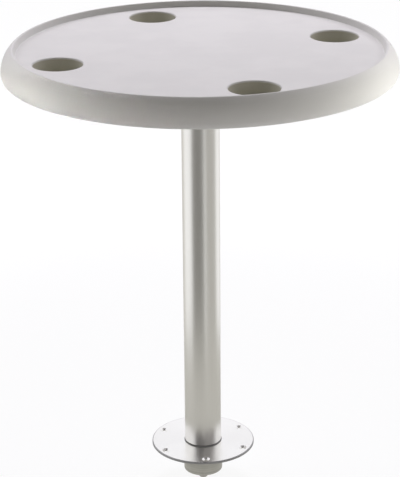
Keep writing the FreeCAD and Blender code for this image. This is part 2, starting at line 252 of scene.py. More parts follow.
class TableFinishes(bpy.types.PropertyGroup):
    """Colours of the table's finishes."""

    moulded_top: colour("Moulded top", "White of the moulded top", (0.69, 0.685, 0.632))
    # Painted shade: the wells are drawn in a darker, warmer plastic than the top, standing in for the
    # shade deep inside them.
    well_painted_shade: colour("Drink wells", "Painted shade inside the wells", (0.53, 0.52, 0.425))
    moulded_cover: colour("Moulded cover", "Grey-white of the underside cover", (0.62, 0.61, 0.59))
    anodised_post: colour("Anodised post", "Satin anodised aluminium", (0.93, 0.92, 0.885))
    turned_flange: colour("Turned flange", "Fine turned aluminium", (0.965, 0.965, 0.935))
    # Painted shade: the flange's outer edge is drawn darker than its face, standing in for the dark
    # line of shade along that edge.
    flange_rim_painted_shade: colour("Flange rim", "Duller edge of the flange, painted darker as shade", (0.47, 0.47, 0.47))
    socket_metal: colour("Socket metal", "Turned aluminium of cup and drain", (0.46, 0.45, 0.40))
    cast_receiver: colour("Cast receiver", "Fine cast aluminium", (0.60, 0.59, 0.57))
    black_nylon: colour("Nylon", "Moulded nylon of bushes and plugs", (0.26, 0.26, 0.25))
    stainless: colour("Stainless", "Screws", (0.62, 0.61, 0.60))
    brass: colour("Brass", "Threaded inserts", (0.72, 0.52, 0.24))
    plywood: colour("Plywood", "Face veneer of the core board", (0.56, 0.40, 0.23))


class StageSettings(bpy.types.PropertyGroup):
    """The floor, the boards, cards and lamps round the table, and the camera."""

    floor_size: length("Floor size", "Half the width of the floor", 14.0)
    floor_white: share("Floor white", "Share of plain white in the floor's look", 0.90)
    floor_colour: colour("Floor colour", "Paint of the floor", (0.92, 0.92, 0.92))
    sky: share("Sky", "Brightness of the white surroundings", 1.0)
    sky_colour: colour("Sky colour", "Tone of the white surroundings", (0.965, 0.955, 1.0))
    board_distance: length("Board distance", "Post axis to the boards on the camera's side", 3.6)
    board_rise: angle("Board rise", "How high the boards reach, seen from the table", 70)
    board_spread: angle("Board spread", "How far each board reaches round from the camera", 80)
    left_board_spread: angle("Left board spread", "How far round metal shows the left board", 52)
    board_tone: colour("Board tone", "Tone of the boards", (1.0, 0.98, 0.92))
    left_board: share("Left board", "Reflectance of the left board", 0.13)
    right_board: share("Right board", "Reflectance of the right board", 0.33)
    ceiling_height: length("Ceiling height", "Deck level to the dark ceiling", 3.3)
    ceiling_radius: length("Ceiling radius", "Radius of the dark ceiling", 2.4)
    ceiling: share("Ceiling", "Reflectance of the ceiling", 0.10)
    backdrop_distance: length("Backdrop distance", "Post axis to the dark backdrop", 1.2)
    backdrop_low: length("Backdrop foot", "Deck level to the lower edge of the backdrop", 0.25)
    backdrop_high: length("Backdrop head", "Deck level to the upper edge of the backdrop", 1.1)
    backdrop: share("Backdrop", "Reflectance of the backdrop", 0.04)
    card_lift: length("Card lift", "Height of the cards above the floor", 0.002)
    near_card_start: length("Near card start", "Post axis to the near card's inner edge", 0.10)
    far_card_start: length("Far card start", "Post axis to where the far cards begin", 0.62)
    near_card_spread: angle("Near card spread", "How far the near card goes round each way", 150)
    left_card_spread: angle("Left card spread", "How far round the left card reaches", 57)
    right_card_spread: angle("Right card spread", "How far round the right card reaches", 98)
    back_card_left: angle("Back card left", "How far the back card reaches to the left", 60)
    back_card_right: angle("Back card right", "How far the back card reaches to the right", 35)
    card_gap_start: angle("Card gap start", "From the camera to the gap between the far cards", 16)
    card_gap: angle("Card gap", "Width of the gap between the far cards", 12)
    near_card: share("Near card", "Grey of the near card", 0.51)
    left_card: share("Left card", "Grey of the far left card", 0.21)
    right_card: share("Right card", "Grey of the far right card", 0.46)
    back_card: share("Back card", "Grey of the far card behind the post", 0.62)
    back_lamp: power("Back lamp", "Soft lamp behind the table", 56.0)
    corner_lamp: power("Corner lamp", "Soft lamp at each back corner", 16.0)
    left_lamp: power("Left lamp", "Narrow lamp on the left", 0.14)
    right_lamp: power("Right lamp", "Narrow lamp on the right", 0.175)
    front_lamp: power("Front lamp", "Soft lamp near the floor on the camera's side", 8.5)
    back_lamp_size: length("Back lamp size", "Width of the back and corner lamps", 0.9)
    front_lamp_size: length("Front lamp size", "Width of the front lamp", 0.7)
    side_lamp_size: length("Side lamp size", "Width of the side lamps", 0.25)
    side_lamp_spread: angle("Side lamp spread", "Angle of the side lamps' beams", 8)
    lamp_distance: length("Lamp distance", "Post axis to the lamps", 2.8)
    back_lamp_rise: angle("Back lamp rise", "Angle from the table up to the back lamp", 49)
    corner_lamp_rise: angle("Corner lamp rise", "Angle from the table up to the corner lamps", 30)
    corner_lamp_turn: angle("Corner lamp turn", "Angle from straight behind to a corner lamp", 60)
    side_lamp_rise: angle("Side lamp rise", "Angle from the table up to the side lamps", -8)
    left_lamp_turn: angle("Left lamp turn", "How far the left lamp stands behind the table", -12)
    right_lamp_turn: angle("Right lamp turn", "How far the right lamp stands behind the table", -8)
    left_lamp_aim: angle("Left lamp aim", "From the rim's left end to where the beam lands", 34)
    right_lamp_aim: angle("Right lamp aim", "From the rim's right end to where the beam lands", 24)
    back_lamp_colour: colour(
        "Back lamp colour", "Cool tone of the back and corner lamps", (0.885, 0.845, 0.985)
    )
    side_lamp_colour: colour("Side lamp colour", "Tone of the other lamps", (1.0, 0.99, 0.97))
    front_lamp_rise: angle("Front lamp rise", "Angle from the table up to the front lamp", -9)
    camera_place: FloatVectorProperty(
        name="Camera place",
        description="Where the camera stands",
        default=(0.0, -2.6447, 1.3770),
        size=3,
        unit="LENGTH",
    )
    camera_pitch: angle("Camera pitch", "How far the camera looks down", 20.967)
    camera_yaw: angle("Camera yaw", "How far the camera looks to the right", -0.048)
    camera_roll: angle("Camera roll", "How far the camera leans", -0.504)
    camera_lens: FloatProperty(
        name="Lens", description="Focal length on a 36 mm sensor", default=133.05, unit="CAMERA"
    )


# Finishes


class Value:
    """A number or colour that varies over a surface, with sums written as Python."""

    def __init__(self, finish, socket):
        self.finish = finish
        self.socket = socket

    def sum(self, operation, first, second):
        return self.finish.node("ShaderNodeMath", {"operation": operation}, {0: first, 1: second})

    def __add__(self, other):
        return self.sum("ADD", self, other)

    def __radd__(self, other):
        return self.sum("ADD", other, self)

    def __sub__(self, other):
        return self.sum("SUBTRACT", self, other)

    def __rsub__(self, other):
        return self.sum("SUBTRACT", other, self)

    def __mul__(self, other):
        return self.sum("MULTIPLY", self, other)

    def __rmul__(self, other):
        return self.sum("MULTIPLY", other, self)

    def __pow__(self, other):
        return self.sum("POWER", self, other)


class Finish:
    """A node material, or a world, that is put together node by node."""

    def __init__(self, owner):
        self.owner = owner
        owner.use_nodes = True
        self.tree = owner.node_tree
        self.tree.nodes.clear()

    def node(self, kind, settings=None, inputs=None, output=0):
        """Adds a node: settings first, then each socket's value or link. Returns one output."""
        node = self.tree.nodes.new(kind)
        for name, value in (settings or {}).items():
            setattr(node, name, value)
        for name, value in (inputs or {}).items():
            if isinstance(value, Value):
                self.tree.links.new(value.socket, node.inputs[name])
            else:
                node.inputs[name].default_value = value
        return Value(self, node.outputs[output]) if node.outputs else None

    def place(self):
        return self.node("ShaderNodeTexCoord", output="Object")

    def axis(self, name):
        return self.node("ShaderNodeSeparateXYZ", inputs={0: self.place()}, output=name)

    def noise(self, per_metre, stretch=(1, 1, 1), detail=2.0):
        """Noise on the piece's own place, from 0 to 1, with so many cells to the metre."""
        scale = [per_metre * part for part in stretch]
        mapped = self.node("ShaderNodeMapping", inputs={"Vector": self.place(), "Scale": scale})
        sockets = {"Vector": mapped, "Scale": 1.0, "Detail": detail}
        return self.node("ShaderNodeTexNoise", inputs=sockets)

    def rings(self, pitch):
        """Noise that varies only with the distance from the post's axis."""
        radius = (self.axis("X") ** 2 + self.axis("Y") ** 2) ** 0.5
        sockets = {"W": radius * (1 / pitch), "Scale": 1.0}
        return self.node("ShaderNodeTexNoise", {"noise_dimensions": "1D"}, sockets)

    def between(self, value, low, high):
        """0 below one level, 1 above another, smooth in between."""
        sockets = {"Value": value, "From Min": low, "From Max": high}
        return self.node("ShaderNodeMapRange", {"interpolation_type": "SMOOTHSTEP"}, sockets)

    def toned(self, tint, pattern, dark, light):
        """A tint that a pattern takes from a darker share of it to a lighter one."""
        first, second = shade(tint, dark), shade(tint, light)
        sockets = {MIX_FACTOR: pattern, MIX_FIRST: first, MIX_SECOND: second}
        return self.node("ShaderNodeMix", {"data_type": "RGBA"}, sockets, output=MIX_RESULT)

    def bump(self, height, depth):
        sockets = {"Height": height, "Distance": depth}
        return self.node("ShaderNodeBump", inputs=sockets, output="Normal")

    def surface(self, **sockets):
        """Closes the material with a Principled shader."""
        named = {name.replace("_", " "): value for name, value in sockets.items()}
        shader = self.node("ShaderNodeBsdfPrincipled", inputs=named)
        self.node("ShaderNodeOutputMaterial", inputs={"Surface": shader})
        return self.owner


def shade(tint, level):
    """A colour of a given share of a tint's brightness."""
    return (*(min(1.0, part * level) for part in tint), 1.0)


def new_finish(name):
    return Finish(bpy.data.materials.new(name))


def moulded(name, tint, tray=None):
    """Satin moulded plastic: faint clouds and a fine grain, both stronger on a tray's flat."""
    finish = new_finish(name)
    cloud = finish.noise(per_metre=14.0, detail=4.0)
    grain = finish.noise(per_metre=1100.0)
    relief = grain * FINE_GRAIN
    tone = cloud
    if tray is not None:
        level = finish.axis("Z")
        above = finish.between(level, tray - TRAY_FADE_UNDER, tray - TRAY_BAND)
        beyond = finish.between(level, tray + TRAY_BAND, tray + TRAY_FADE_OVER)
        flat = above * (1 - beyond)
        relief = relief + flat * finish.noise(per_metre=520.0, detail=3.0)
        tone = MIDDLE + (cloud - MIDDLE) * (1 + TRAY_CLOUDS * flat)
    return finish.surface(
        Base_Color=finish.toned(tint, tone, dark=0.975, light=1.02),
        Roughness=0.40 + 0.12 * cloud + 0.06 * grain,
        IOR=1.5,
        Normal=finish.bump(relief, depth=0.00006),
    )


def anodised(name, tint):
    """Drawn and anodised tube: fine lines along the post over a broad, soft unevenness."""
    finish = new_finish(name)
    lines = finish.noise(per_metre=1500.0, stretch=(1, 1, 0.004), detail=3.0)
    broad = finish.noise(per_metre=9.0, stretch=(1, 1, 0.35), detail=3.0)
    return finish.surface(
        Base_Color=finish.toned(tint, lines, dark=0.95, light=1.03),
        Metallic=1.0,
        Roughness=0.27 + 0.08 * lines + 0.06 * broad,
        Anisotropic=0.35,
        Normal=finish.bump(lines, depth=0.000012),
    )


def turned(name, tint, rough, pitch, relief, spread):
    """Turned metal: rings about the axis, drawn out by the tool's feed."""
    finish = new_finish(name)
    rings = finish.rings(pitch)
    cloud = finish.noise(per_metre=60.0, detail=3.0)
    return finish.surface(
        Base_Color=finish.toned(tint, rings, dark=0.96, light=1.02),
        Metallic=1.0,
        Roughness=rough + 0.06 * rings + 0.05 * cloud,
        Anisotropic=spread,
        Normal=finish.bump(rings, depth=relief),
    )


def lathe_turned(name, tint):
    """Plain turned metal with coarse and fine feed lines round its wall."""
    finish = new_finish(name)
    round_wall = (0.003, 0.003, 1)
    coarse = finish.noise(per_metre=300.0, stretch=round_wall, detail=1.0)
    fine = finish.noise(per_metre=1100.0, stretch=round_wall, detail=2.0)
    lines = 0.7 * coarse + 0.3 * fine
    cloud = finish.noise(per_metre=70.0, detail=3.0)
    cut = finish.between(lines, low=0.3, high=0.7)
    return finish.surface(
        Base_Color=finish.toned(tint, cut, dark=0.78, light=1.06),
        Metallic=0.85,
        Roughness=0.42 + 0.1 * lines + 0.08 * cloud,
        Normal=finish.bump(lines, depth=0.00004),
    )


def cast(name, tint):
    """Fine casting: sandy skin with a slow change of tone."""
    finish = new_finish(name)
    sand = finish.noise(per_metre=850.0, detail=4.0)
    cloud = finish.noise(per_metre=35.0, detail=3.0)
    return finish.surface(
        Base_Color=finish.toned(tint, cloud, dark=0.9, light=1.05),
        Metallic=0.9,
        Roughness=0.46 + 0.16 * sand,
        Normal=finish.bump(sand, depth=0.00012),
    )


def nylon(name, tint):
    """Moulded nylon with a fine grain."""
    finish = new_finish(name)
    grain = finish.noise(per_metre=1300.0)
    return finish.surface(
        Base_Color=finish.toned(tint, grain, dark=0.85, light=1.25),
        Roughness=0.44 + 0.14 * grain,
        Normal=finish.bump(grain, depth=0.00005),
    )


def plain_metal(name, tint, rough):
    """Screws and inserts: fine even scratches with a few smears."""
    finish = new_finish(name)
    scratch = finish.noise(per_metre=2600.0, stretch=(1, 1, 0.2))
    smear = finish.noise(per_metre=180.0, detail=3.0)
    return finish.surface(
        Base_Color=finish.toned(tint, smear, dark=0.92, light=1.06),
        Metallic=1.0,
        Roughness=rough + 0.12 * smear + 0.05 * scratch,
        Normal=finish.bump(scratch, depth=0.00002),
    )


def plywood(name, tint):
    """Veneer with long grain, and darker cross plies at the board's edge."""
    finish = new_finish(name)
    grain = finish.noise(per_metre=420.0, stretch=(0.05, 1, 1), detail=5.0)
    sockets = {"Vector": finish.place(), "Scale": 34.0, "Distortion": 0.4}
    plies = finish.node("ShaderNodeTexWave", {"bands_direction": "Z"}, sockets)
    return finish.surface(
        Base_Color=finish.toned(tint, grain * 0.6 + plies * 0.4, dark=0.62, light=1.12),
        Roughness=0.62 + 0.15 * grain,
        Normal=finish.bump(grain, depth=0.0001),
    )


# Mesh helpers


def sweep(mesh, turn, steps, centre=(0, 0, 0)):
    """Spins a line about an upright axis, with no seam after a full turn."""
    bmesh.ops.spin(
        mesh,
        geom=[*mesh.verts, *mesh.edges],
        cent=centre,
        axis=UP,
        angle=turn,
        steps=steps,
        use_merge=turn == math.tau,
    )


def turn_about_post(mesh, turn):
    matrix = Matrix.Rotation(turn, 3, "Z")
    bmesh.ops.rotate(mesh, verts=mesh.verts, cent=(0, 0, 0), matrix=matrix)


def round_edges(mesh, edges, radius, steps):
    bmesh.ops.bevel(
        mesh,
        geom=edges,
        offset=radius,
        affect="EDGES",
        segments=steps,
        profile=0.5,
        material=-1,
    )


class Outline:
    """A line of points in the XZ plane that operators lengthen, then spin about an upright axis."""

    def __init__(self, radius, height):
        self.mesh = bmesh.new()
        self.tip = self.mesh.verts.new((radius, 0, height))

    def line_to(self, radius, height):
        self.tip = bmesh.ops.extrude_vert_indiv(self.mesh, verts=[self.tip])["verts"][0]
        self.tip.co = (radius, 0, height)
        return self

    def arc_about(self, radius, height, swing, steps):
        """Swings the tip about a centre, positive from +X towards +Z."""
        swung = bmesh.ops.spin(
            self.mesh,
            geom=[self.tip],
            cent=(radius, 0, height),
            axis=(0, -1, 0),
            angle=swing,
            steps=steps,
        )
        ends = swung["geom_last"]
        self.tip = next(part for part in ends if isinstance(part, bmesh.types.BMVert))
        return self

    def spun(self, steps, x=0.0, y=0.0):
        """The surface that the line sweeps in a full turn about the axis at x, y."""
        bmesh.ops.translate(self.mesh, verts=self.mesh.verts, vec=(x, y, 0))
        sweep(self.mesh, math.tau, steps, centre=(x, y, 0))
        bmesh.ops.remove_doubles(self.mesh, verts=self.mesh.verts, dist=MERGE)
        return self.mesh


def outline_through(*corners):
    """An outline through corners of (radius, height) or (radius, height, round)."""
    points = [Vector(corner[:2]) for corner in corners]
    outline = Outline(*points[0])
    for index in range(1, len(points) - 1):
        corner = points[index]
        if len(corners[index]) == 2:
            outline.line_to(*corner)
            continue
        rounding = corners[index][2]
        back = (points[index - 1] - corner).normalized()
        ahead = (points[index + 1] - corner).normalized()
        half = back.angle(ahead) / 2
        start = corner + back * (rounding / math.tan(half))
        centre = corner + (back + ahead).normalized() * (rounding / math.sin(half))
        side = math.copysign(1, ahead.cross(back))
        swing = side * (math.pi - 2 * half)
        outline.line_to(*start).arc_about(*centre, swing, CORNER_STEPS)
    return outline.line_to(*points[-1])


def joined(*meshes):
    """All the meshes in the first one."""
    whole = meshes[0]
    for mesh in meshes[1:]:
        carrier = bpy.data.meshes.new("carrier")
        mesh.to_mesh(carrier)
        mesh.free()
        whole.from_mesh(carrier)
        bpy.data.meshes.remove(carrier)
    return whole


def fill_level(mesh, height):
    """Fills the flat between the open loops at a height, holes left open."""
    loops = [
        edge
        for edge in mesh.edges
        if edge.is_boundary and all(abs(vert.co.z - height) < MERGE for vert in edge.verts)
    ]
    if not loops:
        raise RuntimeError(f"no open loops at height {height}")
    bmesh.ops.triangle_fill(mesh, use_beauty=True, use_dissolve=False, edges=loops, normal=UP)


def even_turns(number, start=0.0):
    """Angles spaced evenly round a full turn."""
    return [start + math.tau * index / number for index in range(number)]


def circle_places(radius, number, start=0.0):
    """Points spaced evenly on a circle about the post's axis."""
    turns = even_turns(number, start)
    return [(radius * math.cos(turn), radius * math.sin(turn)) for turn in turns]


def countersunk_holes(sizes, places, face, back, margin, steps):
    """Screw holes that are sunk into one face and run through to the back."""
    sink = math.copysign(sizes.sink_radius - sizes.hole_radius, back - face)
    corners = (
        (sizes.sink_radius + margin, face),
        (sizes.sink_radius, face),
        (sizes.hole_radius, face + sink),
        (sizes.hole_radius, back),
        (sizes.hole_radius + margin, back),
    )
    return [outline_through(*corners).spun(steps, x, y) for x, y in places]


def finished(mesh, name, materials, slot, body, *nodes):
    """A piece that rides on a body in place of CAD nodes."""
    bmesh.ops.remove_doubles(mesh, verts=mesh.verts, dist=MERGE)
    bmesh.ops.recalc_face_normals(mesh, faces=mesh.faces)
    data = bpy.data.meshes.new(name)
    mesh.to_mesh(data)
    mesh.free()
    data.shade_smooth()
    data.set_sharp_from_angle(angle=SMOOTH_LIMIT)
    for material in materials:
        data.materials.append(material)
    piece = bpy.data.objects.new(name, data)
    bpy.context.scene.collection.objects.link(piece)
    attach(piece, body)
    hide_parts(*nodes)
    return piece


def dressed(material, *nodes):
    """Gives CAD nodes that stay in view a finish."""
    for name in nodes:
        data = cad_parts[name].data
        data.materials.clear()
        data.materials.append(material)


# Pieces


class TABLE_OT_moulded_top(bpy.types.Operator):
    """Builds the moulded top with its tray, lip, apron, drink wells and screw bosses"""

    bl_idname = "table.moulded_top"
    bl_label = "Moulded top"

    def rim(self, top):
        """The rim's wall, from the tray over the lip to the apron's mouth and back inside."""
        tray = top.height - top.lip_height
        belly = top.mouth + top.belly
        inset, bead = top.lip_inset, top.lip_round
        crest = Vector((top.radius - inset, top.height - bead))
        rise = crest.y - belly
        flank = (inset**2 - bead**2 + rise**2) / (2 * (inset - bead))
        roll = (top.mouth_inset**2 + top.belly**2) / (2 * top.mouth_inset)
        slope = top.lip_slope
        along = Vector((math.cos(slope), math.sin(slope)))
        normal = Vector((-along.y, along.x))
        head = crest + normal * bead
        foot_rise = top.cove * (1 - math.cos(slope))
        foot = head - along * ((head.y - tray - foot_rise) / along.y)
        cove = foot + normal * top.cove
        flank_axis = Vector((top.radius - flank, belly))
        roll_axis = Vector((top.radius - roll, belly))
        flank_turn = math.atan2(rise, crest.x - flank_axis.x)
        mouth_turn = math.asin(top.belly / roll)

        inner_roll = roll - top.wall
        inner_mouth_turn = math.asin(top.belly / inner_roll)
        inner_way = Vector((math.cos(inner_mouth_turn), -math.sin(inner_mouth_turn)))
        inner_mouth = roll_axis + inner_roll * inner_way
        inner_foot = foot - normal * top.wall
        to_wall = inner_foot - flank_axis
        reach = to_wall.dot(along)
        inner_flank = flank - top.wall
        beyond = math.sqrt(inner_flank**2 - to_wall.length_squared + reach**2) - reach
        inner_head = inner_foot + along * beyond
        inner_turn = math.atan2(inner_head.y - flank_axis.y, inner_head.x - flank_axis.x)

        outline = Outline(cove.x - top.ledge, tray)
        outline.line_to(cove.x, tray).arc_about(*cove, slope, COVE_STEPS)
        outline.line_to(*head).arc_about(*crest, flank_turn - slope - math.pi / 2, BEAD_STEPS)
        outline.arc_about(*flank_axis, -flank_turn, FLANK_STEPS)
        outline.arc_about(*roll_axis, -mouth_turn, MOUTH_STEPS)
        outline.line_to(*inner_mouth).arc_about(*roll_axis, inner_mouth_turn, INNER_MOUTH_STEPS)
        outline.arc_about(*flank_axis, inner_turn, INNER_FLANK_STEPS).line_to(*inner_foot)
        outline.arc_about(*cove, -slope, INNER_COVE_STEPS)
        outline.line_to(cove.x - top.ledge, tray - top.wall)
        return outline.spun(RIM_STEPS)

    def well(self, top, x, y):
        """One well's inner and outer wall, each open at the tray."""
        tray = top.height - top.lip_height
        floor = tray - top.well_depth
        foot = top.well_radius - top.well_depth * math.tan(top.well_draft)
        brim = top.well_radius + top.well_edge + top.ledge
        inside = outline_through(
            (brim, tray),
            (top.well_radius, tray, top.well_edge),
            (foot, floor, top.well_foot),
            (0, floor),
        )
        outer = top.well_radius + top.wall
        outside = outline_through(
            (outer + top.ledge, tray - top.wall),
            (outer, tray - top.wall),
            (foot + top.wall, floor - top.wall, top.well_foot),
            (0, floor - top.wall),
        )
        bowl = inside.spun(WELL_STEPS, x, y)
        # Faces below the round at a well's edge take the darker well colour: painted shade inside the
        # wells.
        for face in bowl.faces:
            face.material_index = int(face.calc_center_median().z < tray - top.well_edge)
        return joined(bowl, outside.spun(WELL_STEPS, x, y))

    def boss(self, top, turn):
        """One screw boss with its pilot bore and the rib that ties it to the apron."""
        tray = top.height - top.lip_height
        radius = top.radius - top.boss_inset
        ceiling = tray - top.wall / 2
        blind = top.boss_foot + top.boss_pilot
        post = outline_through(
            (0, ceiling),
            (top.boss_radius, ceiling),
            (top.boss_radius, top.boss_foot),
            (top.boss_bore, top.boss_foot),
            (top.boss_bore, blind),
            (0, blind),
        ).spun(BOSS_STEPS, radius)
        rib = bmesh.new()
        bmesh.ops.create_cube(rib, size=1)
        rib_low = top.mouth + top.belly
        rib_end = top.radius - top.wall
        size = Vector((rib_end - radius, top.boss_rib, ceiling - rib_low))
        middle = ((radius + rib_end) / 2, 0, (rib_low + ceiling) / 2)
        bmesh.ops.scale(rib, vec=size, verts=rib.verts)
        bmesh.ops.translate(rib, vec=middle, verts=rib.verts)
        half_up = rib_low + size.z / 2
        sloped = [vert for vert in rib.verts if vert.co.x > radius and vert.co.z > half_up]
        bmesh.ops.translate(rib, vec=(-top.wall, 0, 0), verts=sloped)
        boss = joined(post, rib)
        turn_about_post(boss, turn)
        return boss

    def execute(self, context):
        top = context.scene.top_sizes
        tray = top.height - top.lip_height
        shell = self.rim(top)
        mouth_edges = [
            edge
            for edge in shell.edges
            if all(abs(vert.co.z - top.mouth) < MERGE for vert in edge.verts)
            and abs(edge.verts[0].co.xy.length - edge.verts[1].co.xy.length) < MERGE
        ]
        round_edges(shell, mouth_edges, top.mouth_round, MOUTH_EDGE_STEPS)
        places = circle_places(top.radius - top.well_inset, top.well_count, top.well_turn)
        shell = joined(shell, *(self.well(top, x, y) for x, y in places))
        fill_level(shell, tray)
        fill_level(shell, tray - top.wall)
        half_spread = top.boss_spread / 2
        for middle in even_turns(top.well_count, top.well_turn + math.pi / top.well_count):
            for turn in (middle - half_spread, middle + half_spread):
                shell = joined(shell, self.boss(top, turn))
        finishes = context.scene.table_finishes
        plastic = moulded("moulded top", finishes.moulded_top, tray)
        # The drink wells material is painted shade: a darker, warmer copy of the top's plastic for
        # the wells.
        painted_well_shade = moulded("drink wells", finishes.well_painted_shade)
        finished(shell, "moulded_top", [plastic, painted_well_shade], "moulded_top", "table_top", "top_shell")
        return {"FINISHED"}


class TABLE_OT_post(bpy.types.Operator):
    """Builds the satin tube that carries the top"""

    bl_idname = "table.post"
    bl_label = "Post"

    def execute(self, context):
        post = context.scene.post_sizes
        bore = post.radius - post.wall
        tube = outline_through(
            (bore, post.foot),
            (post.radius - post.chamfer, post.foot),
            (post.radius, post.foot + post.chamfer),
            (post.radius, post.head - post.chamfer),
            (post.radius - post.chamfer, post.head),
            (bore, post.head),
            (bore, post.foot),
        ).spun(POST_STEPS)
        material = anodised("anodised post", context.scene.table_finishes.anodised_post)
        finished(tube, "post", [material], "anodised_post", "post", "post_tube")
        return {"FINISHED"}


class TABLE_OT_deck_flange(bpy.types.Operator):
    """Builds the turned deck flange with its countersunk holes"""

    bl_idname = "table.deck_flange"
    bl_label = "Deck flange"

    def execute(self, context):
        deck = context.scene.deck_sizes
        ledge = context.scene.top_sizes.ledge
        bore = context.scene.post_sizes.bore
        seat = deck.cup_neck + deck.cup_seat_gap
        top = deck.flange_top
        edge = outline_through(
            (deck.flange_radius - deck.flange_edge - ledge, top),
            (deck.flange_radius, top, deck.flange_edge),
            (deck.flange_radius, deck.flange_break),
            (deck.flange_radius - deck.flange_break, 0),
            (deck.flange_radius - deck.flange_break - ledge, 0),
        )
        socket = outline_through(
            (bore + deck.flange_break + ledge, top),
            (bore + deck.flange_break, top),
            (bore, top - deck.flange_break),
            (bore, deck.cup_seat),
            (seat, deck.cup_seat),
            (seat, deck.cup_seat_chamfer),
            (seat + deck.cup_seat_chamfer, 0),
            (seat + deck.cup_seat_chamfer + ledge, 0),
        )
        hole_circle = deck.flange_radius - deck.hole_inset
        places = circle_places(hole_circle, deck.hole_count, deck.hole_turn)
        holes = countersunk_holes(deck, places, top, 0, deck.flange_break, DECK_HOLE_STEPS)
        flange = joined(edge.spun(FLANGE_STEPS), socket.spun(POST_STEPS), *holes)
        fill_level(flange, top)
        fill_level(flange, 0.0)
        # Faces beyond the round on the upper edge take the darker rim finish: painted shade along the
        # flange's edge.
        brim = deck.flange_radius - deck.flange_edge
        for face in flange.faces:
            face.material_index = int(face.calc_center_median().xy.length > brim)
        finishes = context.scene.table_finishes
        material = turned(
            "turned flange",
            finishes.turned_flange,
            rough=0.16,
            pitch=0.0004,
            relief=0.000004,
            spread=0.75,
        )
        # The rim's darker colour is painted shade.
        rim = lathe_turned("flange rim painted shade", finishes.flange_rim_painted_shade)
        finished(flange, "deck_disc", [material, rim], "turned_flange", "deck_base", "deck_flange")
        return {"FINISHED"}


class TABLE_OT_socket(bpy.types.Operator):
    """Builds the socket cup under the deck and the drain spout in its floor"""

    bl_idname = "table.socket"
    bl_label = "Socket cup and drain"

    def execute(self, context):
        deck = context.scene.deck_sizes
        bore = context.scene.post_sizes.bore
        floor = deck.cup_floor - deck.cup_depth
        drain_hole = deck.drain_shank + deck.cup_seat_gap
        cup = outline_through(
            (drain_hole, floor),
            (drain_hole, -deck.cup_depth),
            (deck.cup_radius, -deck.cup_depth, deck.cup_foot),
            (deck.cup_radius, -deck.cup_neck_drop),
            (deck.cup_neck, -deck.cup_neck_drop),
            (deck.cup_neck, deck.cup_seat),
            (bore, deck.cup_seat),
            (bore, floor),
            (drain_hole, floor),
        ).spun(POST_STEPS)
        drain = outline_through(
            (deck.drain_bore, floor),
            (deck.drain_bore, -deck.drain_foot),
            (deck.drain_radius - deck.drain_chamfer, -deck.drain_foot),
            (deck.drain_radius, deck.drain_chamfer - deck.drain_foot),
            (deck.drain_radius, -deck.cup_depth),
            (deck.drain_shank, -deck.cup_depth),
            (deck.drain_shank, floor),
            (deck.drain_bore, floor),
        ).spun(DRAIN_STEPS)
        metal = [lathe_turned("socket metal", context.scene.table_finishes.socket_metal)]
        finished(cup, "socket_body", metal, "socket_metal", "deck_base", "socket_cup")
        finished(drain, "drain_spout", metal, "socket_metal", "deck_base", "drain_spigot")
        return {"FINISHED"}


class TABLE_OT_bushes(bpy.types.Operator):
    """Builds the lipped nylon bushes in the socket and in the receiver"""

    bl_idname = "table.bushes"
    bl_label = "Bushes"

    def bush(self, post, seat, direction):
        """A bush whose lip seats at a height and whose body points away from the lip."""
        outer = post.bore - post.bush_gap
        bored = post.bush_mouth - (post.bush_length + post.bush_lip) * math.tan(post.taper)
        lip = seat + direction * post.bush_lip
        end = seat - direction * post.bush_length
        return outline_through(
            (bored, end),
            (outer, end),
            (outer, seat),
            (post.bush_lip_radius, seat),
            (post.bush_lip_radius, lip, post.bush_lip_round),
            (post.bush_mouth, lip),
            (bored, end),
        ).spun(POST_STEPS)

    def execute(self, context):
        post = context.scene.post_sizes
        material = nylon("black nylon", context.scene.table_finishes.black_nylon)
        lower = self.bush(post, context.scene.deck_sizes.flange_top, 1)
        upper = self.bush(post, context.scene.receiver_sizes.mouth, -1)
        for bush, name, body, node in (
            (lower, "socket_bush_ring", "swivel_bush", "socket_bush"),
            (upper, "receiver_bush_ring", "table_top", "receiver_bush"),
        ):
            finished(bush, name, [material], "black_nylon", body, node)
        dressed(material, "lower_plug", "upper_plug")
        return {"FINISHED"}


